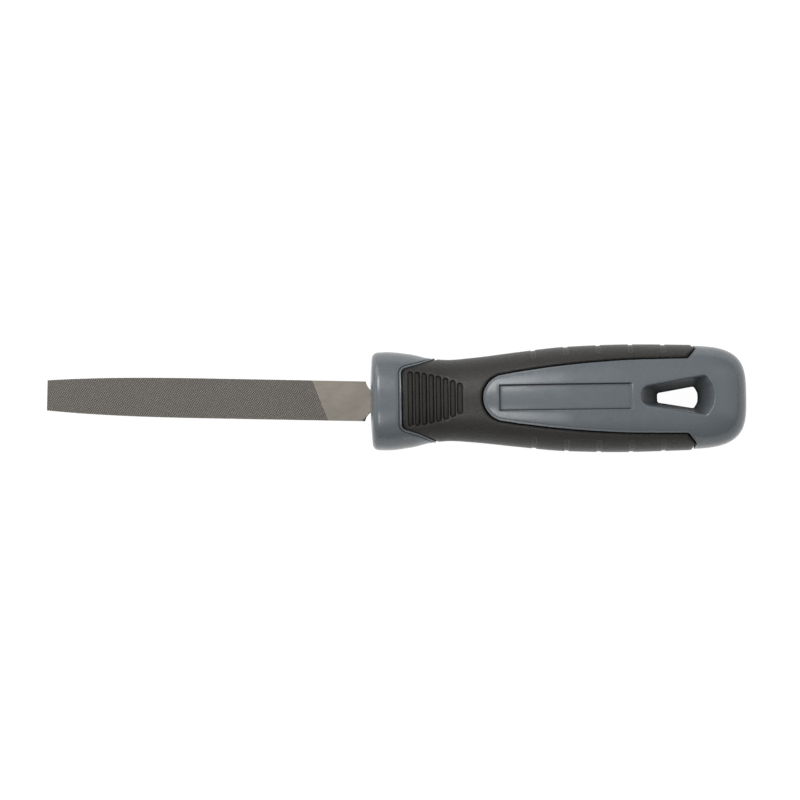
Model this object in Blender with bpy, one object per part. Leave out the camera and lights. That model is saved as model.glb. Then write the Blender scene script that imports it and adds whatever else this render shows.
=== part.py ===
"""Flat file with a two-component handle.

Three pieces, as on the real tool: the steel file with its tang, the hard handle core that the
tang is driven into, and the soft grip moulded over the core.

The tool lies on its back, +Z up and +X from the tip to the butt. Lengths are millimetres,
scaled to metres by MM. Every piece is drawn in the handle's own frame, whose origin is the
centre of the front face of the handle, and an empty carries that frame to its place.
"""

import math

import bmesh
import bpy
from mathutils import Matrix, Vector

MM = 0.001
GAP = 0.3  # left between two pieces that touch on the real tool

# Steel file. Its x runs from the front face of the handle towards the tip, which is negative.
BLADE_LENGTH = 100.0  # tip to shoulder, the nominal size of the file
BLADE_WIDTH = 12.5
BLADE_THICKNESS = 3.0
TIP_WIDTH = 9.5
TIP_THICKNESS = 2.3
TAPER_LENGTH = 42.0  # the bellied stretch behind the tip
SHOULDER_STANDOFF = 1.6  # bare steel between the shoulder and the handle
SHOULDER_RUN = 2.0  # length and depth of the hollow that steps down to the tang
SHOULDER_DROP = 2.85
TANG_REACH = 46.0  # how far the tang goes into the handle
TANG_TIP_WIDTH = 3.6
TANG_TIP_THICKNESS = 2.0
BLADE_YAW = math.radians(-1.8)  # the tang sits a little askew in the handle

# Double cut of the two faces, coarser than the real 0.54 mm, and single cut of the two edges
UPCUT_PITCH = 1.5
OVERCUT_PITCH = 1.85
UPCUT_ANGLE = math.radians(67.0)
OVERCUT_ANGLE = math.radians(49.0)
TOOTH_DEPTH = 0.35  # from the blank's face down to the roots of the teeth
TOOTH_HEIGHT = 0.31
TOOTH_RAKE = 0.25  # how far a tooth's point leans to the tip, as a share of the pitch
CUT_END = 15.8  # distance from the handle to the end of the teeth, on the blade's axis
EDGE_TOOTH_PITCH = 1.5
EDGE_TOOTH_DEPTH = 0.22

# Handle outline, as (distance from the front face, size) along the handle
HANDLE_LENGTH = 117.8
HALF_WIDTHS = (
    (0.0, 15.3), (5.0, 15.4), (12.7, 14.6), (19.0, 13.2), (24.5, 12.75), (32.0, 13.25),
    (46.0, 14.8), (62.0, 16.15), (79.0, 16.6), (100.0, 16.2), (118.0, 15.6),
)
HALF_THICKNESSES = (
    (0.0, 13.7), (5.0, 13.9), (12.7, 13.2), (19.0, 12.1), (24.5, 11.7), (32.0, 11.9),
    (46.0, 12.8), (62.0, 13.6), (77.0, 13.9), (100.0, 13.3), (118.0, 12.6),
)
SQUARENESS = ((0.0, 2.6), (22.0, 2.25), (40.0, 2.3), (79.0, 2.5), (118.0, 2.7))  # 2 is an ellipse
COLLAR_ROUND = 3.2  # radius of the rim round the front face
BUTT_START = 98.0  # where the butt starts to close
BUTT_SQUARENESS = 3.6

# Soft grip
GRIP_THICKNESS = 2.2
GRIP_PROUD = ((0.0, 0.0), (26.0, 0.0), (60.0, 0.3), (118.0, 0.35))  # how far it stands out
PAD_FRONT = 9.8  # front edge of the thumb pad
PAD_CORNER = (10.9, 9.7)
PAD_SHOULDER = (15.4, 11.1)
COLLAR_END = (20.0, 13.3)  # where the collar's rear edge meets the side of the handle
PANEL_NOSE = 35.2
PANEL_NOSE_RADIUS = 7.6
PANEL_HALF_WIDTHS = ((47.0, 8.5), (58.0, 10.1), (70.0, 11.2), (82.0, 11.7), (99.6, 11.8))
STRAP_POINT = (102.2, 15.4)  # the arrow-shaped rear end of each strap
STRAP_END = 101.0
OUTSIDE = 24.0  # well clear of the handle's side

# Grooves of the grip
THUMB_GROOVES = 8
THUMB_GROOVE_START = 12.15
THUMB_GROOVE_PITCH = 2.245
THUMB_GROOVE_LONGEST = 8.6  # half lengths of the first and the last groove
THUMB_GROOVE_SHORTEST = 4.8
THUMB_GROOVE_RADIUS = 0.95
THUMB_GROOVE_DEPTH = 0.65
STRAP_NOTCHES = 5
STRAP_NOTCH_START = 51.1
STRAP_NOTCH_PITCH = 10.15
STRAP_NOTCH_RADIUS = 1.15
STRAP_NOTCH_DEPTH = 0.4
STRAP_NOTCH_REACH = math.radians(34)  # how far it runs round the side, each way

# Label recess, left bare, and hanging hole
RECESS = (40.3, 81.6)
RECESS_HALF_WIDTH = 4.1
RECESS_DEPTH = 0.5
HOLE_THROAT = ((90.0, 1.45, 0.9), (102.6, 3.3, 1.1))  # front and rear corners: x, y, radius
HOLE_RIM = ((84.8, 2.9, 2.6), (107.6, 6.5, 1.9))
HOLE_RIM_HEIGHT = 13.2  # height above the handle's axis at which the rim is measured

SECTION_POINTS = 36
SHARP_ANGLE = math.radians(32)


# Small helpers


def clear_scene():
    for obj in list(bpy.data.objects):
        bpy.data.objects.remove(obj)


def make_material(name, colour, roughness, metallic=0.0):
    material = bpy.data.materials.new(name)
    material.use_nodes = True
    surface = material.node_tree.nodes["Principled BSDF"]
    surface.inputs["Base Color"].default_value = (*colour, 1.0)
    surface.inputs["Roughness"].default_value = roughness
    surface.inputs["Metallic"].default_value = metallic
    return material


def make_collection(name):
    collection = bpy.data.collections.new(name)
    bpy.context.scene.collection.children.link(collection)
    return collection


def smooth_value(stations, x):
    """The height at x of a smooth curve through (x, height) stations, with no overshoot."""
    last = len(stations) - 1
    slopes = [
        (stations[i + 1][1] - stations[i][1]) / (stations[i + 1][0] - stations[i][0])
        for i in range(last)
    ]

    def tangent(i):
        if i in (0, last):
            return slopes[min(i, last - 1)]
        before, after = slopes[i - 1], slopes[i]
        return 0.0 if before * after <= 0 else 2 * before * after / (before + after)

    x = min(max(x, stations[0][0]), stations[last][0])
    i = max(k for k in range(last) if x >= stations[k][0])
    (x0, y0), (x1, y1) = stations[i], stations[i + 1]
    width = x1 - x0
    t = (x - x0) / width
    return (
        (1 + 2 * t) * (1 - t) ** 2 * y0
        + t * (1 - t) ** 2 * width * tangent(i)
        + t * t * (3 - 2 * t) * y1
        - t * t * (1 - t) * width * tangent(i + 1)
    )


def mesh_object(name, bm, collection, parent):
    """An object from a bmesh drawn in millimetres."""
    bmesh.ops.recalc_face_normals(bm, faces=bm.faces)
    bm.transform(Matrix.Scale(MM, 4))
    mesh = bpy.data.meshes.new(name)
    bm.to_mesh(mesh)
    bm.free()
    obj = bpy.data.objects.new(name, mesh)
    collection.objects.link(obj)
    obj.parent = parent
    return obj


def as_cutter(obj):
    obj.hide_render = True
    obj.display_type = "WIRE"
    return obj


def add_boolean(obj, other, operation):
    modifier = obj.modifiers.new(operation.title() + " " + other.name, "BOOLEAN")
    modifier.operation = operation
    modifier.object = other
    modifier.solver = "EXACT"


def finish_piece(obj, material):
    """Applies the modifiers, then shades the round faces smooth and leaves real edges sharp."""
    bpy.context.view_layer.update()
    graph = bpy.context.evaluated_depsgraph_get()
    mesh = bpy.data.meshes.new_from_object(obj.evaluated_get(graph))
    obj.modifiers.clear()
    obj.data = mesh
    mesh.name = obj.name
    mesh.materials.clear()
    mesh.materials.append(material)
    mesh.shade_smooth()
    mesh.set_sharp_from_angle(angle=SHARP_ANGLE)


def bmesh_from_curve(curve):
    """The welded bmesh of a curve, in the curve's own units. The curve is used up."""
    carrier = bpy.data.objects.new(curve.name, curve)
    bpy.context.scene.collection.objects.link(carrier)
    bpy.context.view_layer.update()
    graph = bpy.context.evaluated_depsgraph_get()
    mesh = bpy.data.meshes.new_from_object(carrier.evaluated_get(graph))
    bm = bmesh.new()
    bm.from_mesh(mesh)
    bmesh.ops.remove_doubles(bm, verts=bm.verts, dist=0.001)
    bpy.data.objects.remove(carrier)
    bpy.data.curves.remove(curve)
    bpy.data.meshes.remove(mesh)
    return bm


def outline_prism(name, outline, low, high):
    """The closed outline, given as (x, y) points, filled and drawn out from low to high."""
    curve = bpy.data.curves.new(name, "CURVE")
    curve.dimensions = "2D"
    curve.fill_mode = "BOTH"
    curve.extrude = (high - low) / 2
    spline = curve.splines.new("POLY")
    spline.points.add(len(outline) - 1)
    for point, (x, y) in zip(spline.points, outline):
        point.co = (x, y, 0.0, 1.0)
    spline.use_cyclic_u = True
    bm = bmesh_from_curve(curve)
    bm.transform(Matrix.Translation((0, 0, (high + low) / 2)))
    return bm


def tube(points, radius, end_radius):
    """A round bar along the points, drawn in at both ends."""
    curve = bpy.data.curves.new("tube", "CURVE")
    curve.dimensions = "3D"
    curve.bevel_depth = radius
    curve.bevel_resolution = 1
    curve.use_fill_caps = True
    spline = curve.splines.new("POLY")
    spline.points.add(len(points) - 1)
    for point, place in zip(spline.points, points):
        point.co = (*place, 1.0)
    for end in (0, -1):
        spline.points[end].radius = end_radius / radius
    return bmesh_from_curve(curve)


def joined(bmeshes):
    """One bmesh with the separate bodies of all."""
    whole = bmesh.new()
    for bm in bmeshes:
        mesh = bpy.data.meshes.new("part")
        bm.to_mesh(mesh)
        bm.free()
        whole.from_mesh(mesh)
        bpy.data.meshes.remove(mesh)
    return whole


def loft(rings):
    """A closed body through rings of as many points each."""
    bm = bmesh.new()
    loops = [[bm.verts.new(point) for point in ring] for ring in rings]
    count = len(loops[0])
    for near, far in zip(loops, loops[1:]):
        for k in range(count):
            after = (k + 1) % count
            bm.faces.new((near[k], near[after], far[after], far[k]))
    bm.faces.new(loops[0])
    bm.faces.new(loops[-1])
    return bm


def rounded_outline(corners, steps):
    """Outline with rounded corners, each given as (x, y, radius) in order round the shape."""
    points = []
    for i, (x, y, radius) in enumerate(corners):
        corner = Vector((x, y))
        before = (Vector(corners[i - 1][:2]) - corner).normalized()
        after = (Vector(corners[(i + 1) % len(corners)][:2]) - corner).normalized()
        half_angle = before.angle(after) / 2
        centre = corner + (before + after).normalized() * (radius / math.sin(half_angle))
        start = corner + before * (radius / math.tan(half_angle)) - centre
        end = corner + after * (radius / math.tan(half_angle)) - centre
        sweep = start.angle_signed(end)
        for k in range(steps + 1):
            turned = Matrix.Rotation(-sweep * k / steps, 2) @ start
            points.append(tuple(centre + turned))
    return points


# The handle's form


def section_point(x, angle, inset):
    """The point of the handle's section at x in a direction given by its angle from +Y."""
    half_width = smooth_value(HALF_WIDTHS, x) - inset
    half_thickness = smooth_value(HALF_THICKNESSES, x) - inset
    power = smooth_value(SQUARENESS, x)
    across, up = math.cos(angle), math.sin(angle)
    reach = (
        abs(across / half_width) ** power + abs(up / half_thickness) ** power
    ) ** (-1 / power)
    return Vector((x, reach * across, reach * up))


def section_ring(x, inset=0.0, scale=1.0):
    ring = []
    for k in range(SECTION_POINTS):
        point = section_point(x, 2 * math.pi * k / SECTION_POINTS, inset)
        ring.append((x, point.y * scale, point.z * scale))
    return ring


def steps_between(start, end, count):
    return [start + (end - start) * k / count for k in range(count + 1)]


def whole_form(proud):
    """The handle's outer form from the front face to the butt. proud is added all over."""
    rings = []
    for turn in steps_between(0, math.pi / 2, 4)[:-1]:
        x = COLLAR_ROUND * (1 - math.cos(turn))
        rings.append(section_ring(x, COLLAR_ROUND * (1 - math.sin(turn))))
    for x in steps_between(COLLAR_ROUND, BUTT_START, 30):
        rings.append(section_ring(x, -smooth_value(GRIP_PROUD, x) if proud else 0.0))
    for turn in steps_between(0, math.radians(88), 9)[1:]:
        along = math.sin(turn) ** (2 / BUTT_SQUARENESS)
        x = BUTT_START + (HANDLE_LENGTH - BUTT_START) * along
        inset = -smooth_value(GRIP_PROUD, x) if proud else 0.0
        rings.append(section_ring(x, inset, math.cos(turn) ** (2 / BUTT_SQUARENESS)))
    return loft(rings)


def core_under_grip(extra):
    """The part of the core that the grip covers. extra is added all over."""
    return loft(
        [section_ring(x, GRIP_THICKNESS - extra) for x in steps_between(6.0, 107.0, 26)]
    )


def panel_edge(clearance):
    """One side of the grey panel's outline, from its nose to the end of the strap."""
    radius = PANEL_NOSE_RADIUS + clearance
    centre = PANEL_NOSE + PANEL_NOSE_RADIUS
    nose = [
        (centre - radius * math.cos(turn), radius * math.sin(turn))
        for turn in steps_between(0, math.radians(72), 7)
    ]
    start, end = PANEL_HALF_WIDTHS[0][0], PANEL_HALF_WIDTHS[-1][0]
    side = [
        (x, smooth_value(PANEL_HALF_WIDTHS, x) + clearance)
        for x in steps_between(start, end - clearance, 8)
    ]
    return nose + side


def grip_outline(clearance):
    """The grip seen from above: collar seam, strap ends and the opening for the panel."""
    side = [
        (PAD_FRONT + clearance, PAD_CORNER[1] - 1.9 - clearance),
        (PAD_FRONT + 0.3 + clearance, PAD_CORNER[1] - 0.6 - clearance),
        (PAD_CORNER[0] + clearance / 2, PAD_CORNER[1] - clearance),
        (PAD_SHOULDER[0], PAD_SHOULDER[1] - clearance),
        (COLLAR_END[0] + clearance, COLLAR_END[1]),
        (COLLAR_END[0] + clearance, OUTSIDE),
        (STRAP_END - clearance, OUTSIDE),
        (STRAP_END - clearance, STRAP_POINT[1] + 1.4),
        (STRAP_POINT[0] - clearance, STRAP_POINT[1]),
    ]
    side += reversed(panel_edge(clearance)[1:])
    nose = [(PANEL_NOSE - clearance, 0.0)]
    return side + nose + [(x, -y) for x, y in reversed(side)]


def arc_on_form(x, middle, reach, outset, count):
    """Points round the section at x, either side of an angle, at outset from the surface."""
    inset = -smooth_value(GRIP_PROUD, x) - outset
    return [
        section_point(x, angle, inset)
        for angle in steps_between(middle - reach, middle + reach, count)
    ]


# Cutters


def make_channel(collection, parent):
    """What the grip fills: the grip's outline, outside the covered part of the core."""
    prism = outline_prism("grip_channel", grip_outline(0.0), -OUTSIDE, OUTSIDE)
    channel = as_cutter(mesh_object("grip_channel", prism, collection, parent))
    covered = mesh_object("covered_core", core_under_grip(0.0), collection, parent)
    add_boolean(channel, as_cutter(covered), "DIFFERENCE")
    return channel


def make_thumb_grooves(collection, parent):
    bars = []
    for k in range(THUMB_GROOVES):
        x = THUMB_GROOVE_START + k * THUMB_GROOVE_PITCH
        along = k / (THUMB_GROOVES - 1)
        shorter = THUMB_GROOVE_LONGEST - THUMB_GROOVE_SHORTEST
        half_length = THUMB_GROOVE_LONGEST - shorter * along**1.8
        outset = THUMB_GROOVE_RADIUS - THUMB_GROOVE_DEPTH
        height = section_point(x, math.pi / 2, -outset).z
        reach = math.atan2(half_length, height)
        for middle in (math.pi / 2, -math.pi / 2):
            path = arc_on_form(x, middle, reach, outset, 6)
            bars.append(tube(path, THUMB_GROOVE_RADIUS, THUMB_GROOVE_RADIUS * 0.6))
    return as_cutter(mesh_object("thumb_grooves", joined(bars), collection, parent))


def make_strap_notches(collection, parent):
    bars = []
    for k in range(STRAP_NOTCHES):
        x = STRAP_NOTCH_START + k * STRAP_NOTCH_PITCH
        for middle in (0.0, math.pi):
            outset = STRAP_NOTCH_RADIUS - STRAP_NOTCH_DEPTH
            path = arc_on_form(x, middle, STRAP_NOTCH_REACH, outset, 8)
            bars.append(tube(path, STRAP_NOTCH_RADIUS, STRAP_NOTCH_RADIUS * 0.75))
    return as_cutter(mesh_object("strap_notches", joined(bars), collection, parent))


def make_recess(collection, parent):
    """The label recess of both faces, with a floor that follows the panel's surface."""
    corners = [
        (RECESS[0], -RECESS_HALF_WIDTH),
        (RECESS[1], -RECESS_HALF_WIDTH),
        (RECESS[1], RECESS_HALF_WIDTH),
        (RECESS[0], RECESS_HALF_WIDTH),
    ]
    prism = outline_prism("label_recess", corners, -OUTSIDE, OUTSIDE)
    recess = as_cutter(mesh_object("label_recess", prism, collection, parent))
    floors = loft(
        [
            section_ring(x, RECESS_DEPTH)
            for x in steps_between(RECESS[0] - 3, RECESS[1] + 3, 12)
        ]
    )
    floor = mesh_object("recess_floor", floors, collection, parent)
    add_boolean(recess, as_cutter(floor), "DIFFERENCE")
    return recess


def make_hanging_hole(collection, parent):
    """The hole widens from its throat, half way through the handle, to both faces."""

    def outline_at(height):
        share = abs(height) / HOLE_RIM_HEIGHT
        (x0, y0, r0), (x1, y1, r1) = [
            tuple(a + (b - a) * share for a, b in zip(throat, rim))
            for throat, rim in zip(HOLE_THROAT, HOLE_RIM)
        ]
        corners = [(x0, -y0, r0), (x1, -y1, r1), (x1, y1, r1), (x0, y0, r0)]
        return [(x, y, height) for x, y in rounded_outline(corners, 5)]

    beyond = HOLE_RIM_HEIGHT * 1.25
    rings = [outline_at(height) for height in (-beyond, 0.0, beyond)]
    return as_cutter(mesh_object("hanging_hole", loft(rings), collection, parent))


def make_tang_socket(collection, blade):
    """A tapered socket for the tang, which lies where the blade lies."""
    rings = []
    for x, share in ((-1.0, 0.0), (TANG_REACH + GAP, 1.0)):
        y, z = tang_half_sizes(share)
        y, z = y + GAP, z + GAP
        rings.append([(x, -y, -z), (x, y, -z), (x, y, z), (x, -y, z)])
    return as_cutter(mesh_object("tang_socket", loft(rings), collection, blade))


# Steel file


def tang_half_sizes(share):
    """Half width and half thickness of the tang at a share of its length in the handle."""
    root_width = BLADE_WIDTH - 2 * SHOULDER_DROP
    width = root_width + (TANG_TIP_WIDTH - root_width) * share
    return width / 2, (BLADE_THICKNESS + (TANG_TIP_THICKNESS - BLADE_THICKNESS) * share) / 2


def taper(x):
    """How far a point of the blade is into the taper behind the tip: 0 before it, 1 at the tip."""
    from_tip = x + BLADE_LENGTH + SHOULDER_STANDOFF
    return max(0.0, 1 - from_tip / TAPER_LENGTH) ** 2


def blade_half_width(x):
    return (BLADE_WIDTH - (BLADE_WIDTH - TIP_WIDTH) * taper(x)) / 2


def half_thickness_at(x):
    if x > 0:
        return tang_half_sizes(min(x / TANG_REACH, 1.0))[1]
    return (BLADE_THICKNESS - (BLADE_THICKNESS - TIP_THICKNESS) * taper(x)) / 2


def blade_stations():
    """(x, half width) from the tip to the end of the tang: saw-toothed edges, then shoulder."""
    tip = -BLADE_LENGTH - SHOULDER_STANDOFF
    teeth = int((-CUT_END - tip - BLADE_WIDTH / 4) / EDGE_TOOTH_PITCH)
    stations = []
    for k in range(teeth):
        x = tip + k * EDGE_TOOTH_PITCH
        stations.append((x, blade_half_width(x)))
        root = x + EDGE_TOOTH_PITCH * 0.3
        stations.append((root, blade_half_width(root) - EDGE_TOOTH_DEPTH))
    stations.append((tip + teeth * EDGE_TOOTH_PITCH, BLADE_WIDTH / 2))
    for turn in steps_between(0, math.pi / 2, 5):
        x = -SHOULDER_STANDOFF + SHOULDER_RUN * (1 - math.cos(turn))
        stations.append((x, BLADE_WIDTH / 2 - SHOULDER_DROP * math.sin(turn)))
    stations.append((TANG_REACH - 1.5, tang_half_sizes(1.0)[0]))
    stations.append((TANG_REACH, tang_half_sizes(1.0)[0] * 0.5))
    return stations


def make_blank(collection, parent):
    """The forged blank, thinner towards the tip and towards the end of the tang."""
    rings = []
    for x, y in blade_stations():
        z = half_thickness_at(x)
        rings.append([(x, -y, -z), (x, y, -z), (x, y, z), (x, -y, z)])
    return mesh_object("file_blade", loft(rings), collection, parent)


def make_face_cut(collection, parent):
    """Cuts the teeth of one face: a slab whose underside has a hollow for each tooth.

    The upcut and the overcut cross in a lattice of diamonds. Each diamond is poked up into
    a four-sided tooth whose point leans to the tip.
    """
    crossing = math.sin(math.pi - UPCUT_ANGLE - OVERCUT_ANGLE)
    along_upcut = Vector((math.cos(UPCUT_ANGLE), -math.sin(UPCUT_ANGLE), 0))
    along_overcut = Vector((-math.cos(OVERCUT_ANGLE), -math.sin(OVERCUT_ANGLE), 0))
    along_upcut *= OVERCUT_PITCH / crossing
    along_overcut *= UPCUT_PITCH / crossing
    tip = -BLADE_LENGTH - SHOULDER_STANDOFF
    rows = int((BLADE_LENGTH + 8) / UPCUT_PITCH)

    bm = bmesh.new()
    bmesh.ops.create_grid(bm, x_segments=rows, y_segments=rows, size=0.5)
    for vert in bm.verts:
        row = round((vert.co.x + 0.5) * rows)
        column = round((vert.co.y + 0.5) * rows) - rows + 6
        vert.co = Vector((-CUT_END, 0, 0)) + row * along_overcut + column * along_upcut
    outside = [
        face
        for face in bm.faces
        if face.calc_center_median().x < tip - UPCUT_PITCH
        or abs(face.calc_center_median().y) > BLADE_WIDTH / 2 + OVERCUT_PITCH
    ]
    bmesh.ops.delete(bm, geom=outside, context="FACES")
    for vert in bm.verts:
        vert.co.z = half_thickness_at(vert.co.x) - TOOTH_DEPTH
    roots = list(bm.faces)
    lid = bmesh.ops.extrude_face_region(bm, geom=roots, use_keep_orig=True)["geom"]
    for vert in [v for v in lid if isinstance(v, bmesh.types.BMVert)]:
        vert.co.z = BLADE_THICKNESS / 2 + 1.0
    points = bmesh.ops.poke(bm, faces=[face for face in roots if face.is_valid])["verts"]
    for vert in points:
        vert.co.z += TOOTH_HEIGHT
        vert.co.x -= TOOTH_RAKE * UPCUT_PITCH
    return as_cutter(mesh_object("face_cut", bm, collection, parent))


def make_file_blade(collection, cutters, parent):
    blade = make_blank(collection, parent)
    blade.rotation_euler.z = BLADE_YAW
    upper = make_face_cut(cutters, blade)
    lower = as_cutter(bpy.data.objects.new("face_cut_lower", upper.data))
    cutters.objects.link(lower)
    lower.parent = blade
    lower.rotation_euler.x = math.pi
    add_boolean(blade, upper, "DIFFERENCE")
    add_boolean(blade, lower, "DIFFERENCE")
    return blade


# Handle


def make_handle_core(collection, cutters, parent, blade):
    core = mesh_object("handle_core", whole_form(proud=False), collection, parent)
    add_boolean(core, make_channel(cutters, parent), "DIFFERENCE")
    add_boolean(core, make_recess(cutters, parent), "DIFFERENCE")
    add_boolean(core, make_hanging_hole(cutters, parent), "DIFFERENCE")
    add_boolean(core, make_tang_socket(cutters, blade), "DIFFERENCE")
    return core


def make_soft_grip(collection, cutters, parent):
    grip = mesh_object("soft_grip", whole_form(proud=True), collection, parent)
    prism = outline_prism("grip_shape", grip_outline(GAP), -OUTSIDE, OUTSIDE)
    shape = as_cutter(mesh_object("grip_shape", prism, cutters, parent))
    inside = mesh_object("grip_inside", core_under_grip(GAP), cutters, parent)
    add_boolean(grip, shape, "INTERSECT")
    add_boolean(grip, as_cutter(inside), "DIFFERENCE")
    add_boolean(grip, make_thumb_grooves(cutters, parent), "DIFFERENCE")
    add_boolean(grip, make_strap_notches(cutters, parent), "DIFFERENCE")
    return grip


def seat(frame, pieces):
    """Moves the handle's frame so that the tool's box stands centred over the origin."""
    bpy.context.view_layer.update()
    corners = [piece.matrix_world @ Vector(c) for piece in pieces for c in piece.bound_box]
    low = [min(corner[axis] for corner in corners) for axis in range(3)]
    high = [max(corner[axis] for corner in corners) for axis in range(3)]
    frame.location = (-(low[0] + high[0]) / 2, -(low[1] + high[1]) / 2, -low[2])


def main():
    clear_scene()
    tool = make_collection("flat_file")
    cutters = make_collection("cutters")
    steel = make_material("file_steel", (0.27, 0.25, 0.22), 0.42, 0.9)
    plastic = make_material("grey_plastic", (0.16, 0.18, 0.195), 0.42)
    rubber = make_material("black_rubber", (0.035, 0.034, 0.033), 0.62)

    frame = bpy.data.objects.new("flat_file_frame", None)
    tool.objects.link(frame)
    blade = make_file_blade(tool, cutters, frame)
    core = make_handle_core(tool, cutters, frame, blade)
    grip = make_soft_grip(tool, cutters, frame)
    finish_piece(blade, steel)
    finish_piece(core, plastic)
    finish_piece(grip, rubber)
    seat(frame, [blade, core, grip])


main()
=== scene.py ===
"""The looks of the flat file: fine surfaces for the handle and the blade, their materials,
a white floor, soft light and the camera.

The handle is drawn in its own frame in millimetres, with x from its front face to its butt. Its
surface is one form, and each seam, groove and recess is a height added to that form. A quarter of
the surface is triangulated with edges along every contour and mirrored twice.
"""

import math

import bmesh
import bpy
import numpy as np
from mathutils import Matrix, Vector
from mathutils.geometry import delaunay_2d_cdt


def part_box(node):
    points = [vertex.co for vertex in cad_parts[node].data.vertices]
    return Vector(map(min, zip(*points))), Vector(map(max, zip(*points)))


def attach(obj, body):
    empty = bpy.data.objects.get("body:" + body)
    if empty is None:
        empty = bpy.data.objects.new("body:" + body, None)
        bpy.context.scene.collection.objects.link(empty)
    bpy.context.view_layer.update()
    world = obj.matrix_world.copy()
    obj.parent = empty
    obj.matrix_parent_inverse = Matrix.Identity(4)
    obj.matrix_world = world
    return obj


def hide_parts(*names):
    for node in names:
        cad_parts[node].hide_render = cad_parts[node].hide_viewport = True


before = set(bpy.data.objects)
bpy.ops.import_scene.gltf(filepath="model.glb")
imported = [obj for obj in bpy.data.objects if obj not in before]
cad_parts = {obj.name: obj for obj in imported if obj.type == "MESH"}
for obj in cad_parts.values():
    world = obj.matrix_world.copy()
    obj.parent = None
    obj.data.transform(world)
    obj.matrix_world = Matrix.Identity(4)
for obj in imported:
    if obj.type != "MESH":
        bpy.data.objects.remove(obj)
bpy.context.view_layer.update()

MM = 0.001

# Handle form: (distance from the front face, size) stations, as in the solids
HANDLE_LENGTH = 117.79
HALF_WIDTHS = (
    (0.0, 15.0), (5.0, 15.4), (12.7, 14.6), (19.0, 13.2), (24.5, 12.75), (32.0, 13.25),
    (46.0, 14.7), (62.0, 16.15), (79.0, 16.6), (100.0, 16.2), (118.0, 15.6),
)
HALF_THICKNESSES = (
    (0.0, 13.72), (4.5, 13.8), (8.5, 13.81), (13.0, 13.4), (18.5, 12.0), (23.0, 11.25),
    (27.0, 11.4), (34.0, 11.95), (55.0, 13.45), (64.0, 13.8), (80.0, 13.8), (100.0, 13.4),
    (118.0, 12.8),
)
SQUARENESS = ((0.0, 2.6), (22.0, 2.25), (40.0, 2.3), (79.0, 2.5), (118.0, 2.7))
COLLAR_ROUND = 3.35  # how far back the rounding of the collar's rim reaches
COLLAR_SQUARENESS = 3.1
FACE_CROWN = 0.4  # how far the front face bulges
BUTT_START = 98.0
BUTT_SQUARENESS = 3.6
BUTT_CAP = 114.0  # from here the butt is closed with plain rings
GRIP_PROUD = ((0.0, 0.0), (26.0, 0.0), (60.0, 0.26), (118.0, 0.3))
GRIP_THICKNESS = 2.0

# Seam between the grip and the core, seen from above
PAD_FRONT = 9.8
PAD_CORNER = (9.8, 9.36, 1.8)  # x, y and corner radius
PAD_SHOULDER = (15.35, 11.0, 5.0)
PAD_SIDE = (20.05, 12.87)
COLLAR_END = 20.4  # where the seam crosses the side of the handle
PANEL_NOSE = 35.0
PANEL_NOSE_RADIUS = 7.6
PANEL_NOSE_TURN = 74  # degrees of the nose's arc on each side
PANEL_HALF_WIDTHS = ((46.3, 8.3), (58.2, 9.85), (70.4, 10.95), (82.4, 11.6), (98.7, 11.84))
PANEL_SIDE_END = 97.2  # where the curve of the panel's side ends
STRAP_HEEL_START = 97.7  # and where the straight line to the heel of the strap's end starts
STRAP_HEEL = (99.1, 11.85, 0.35)
STRAP_POINT = (101.75, 14.95, 0.4)
STRAP_SIDE = (101.15, 15.75)
STRAP_END = 101.0  # where the seam crosses the side again

# Sections of the two seams: (distance from the seam, height), in the plastic and in the rubber
COLLAR_LIP = (
    (0.0, -0.5), (0.1, -0.5), (0.16, -0.05), (0.24, 0.05), (0.62, 0.05), (0.72, -0.05),
    (0.82, -0.32), (1.12, -0.32), (1.2, -0.05), (1.34, 0.0),
)
COLLAR_SIDE_RISE = 0.16  # the collar's lip stands up more at the side of the handle
COLLAR_RISE_SECTION = ((0.16, 1), (1.6, 0))  # share of that rise by distance from the seam
GRIP_SIDE_DIP = ((0.12, -0.4), (0.55, -0.35), (1.0, 0.0))  # the rubber there, by the same
SIDE_START = 0.6  # share of the way round from the top at which the side begins
PANEL_LIP = (
    (0.0, -0.9), (0.17, -0.9), (0.22, -0.1), (0.3, 0.04), (0.62, 0.05), (0.75, -0.01),
    (0.84, -0.07), (0.96, -0.07), (1.08, -0.01), (1.25, 0.0),
)
GRIP_FRONT_EDGE = ((0.12, -0.35), (0.2, -0.15), (0.4, -0.04), (0.7, 0.0))
GRIP_REAR_EDGE = ((0.25, -0.55), (0.35, -0.32), (0.55, -0.14), (0.85, -0.03), (1.1, 0.0))
CORE_CLEARANCE = 0.04  # between the core and the grip over it
SEAM_MARGIN = 0.05  # the core is let down from this far behind the seams
SOCKET_HALF_SIZE = (3.75, 1.8)
SOCKET_END = (46.5, 0, 0)

# Thumb grooves and strap notches: (distance inside the rim, depth) sections
THUMB_GROOVES = 8
THUMB_GROOVE_START = 12.5
THUMB_GROOVE_PITCH = 2.2
THUMB_GROOVE_WIDTH = 1.85
THUMB_GROOVE_LONGEST = 9.05
THUMB_GROOVE_SHORTEST = 5.0
THUMB_GROOVE_SHORTENING = 1.8  # above 1, most of the shortening is at the last grooves
THUMB_GROOVE_SECTION = (
    (-0.08, 0.0), (0.03, -0.06), (0.12, -0.34), (0.26, -0.47), (0.5, -0.5), (0.9, -0.5),
)
THUMB_GROOVE_SLANT = 0.24  # each floor falls this steeply towards the butt
THUMB_GROOVE_FLOOR = ((0.05, 0), (0.2, 1))  # share of that fall by distance inside the rim
STRAP_NOTCHES = 5
STRAP_NOTCH_START = 51.1
STRAP_NOTCH_PITCH = 10.15
STRAP_NOTCH_WIDTH = 1.65
STRAP_NOTCH_REACH = 3.1  # from the side of the handle inward, seen from above
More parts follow.
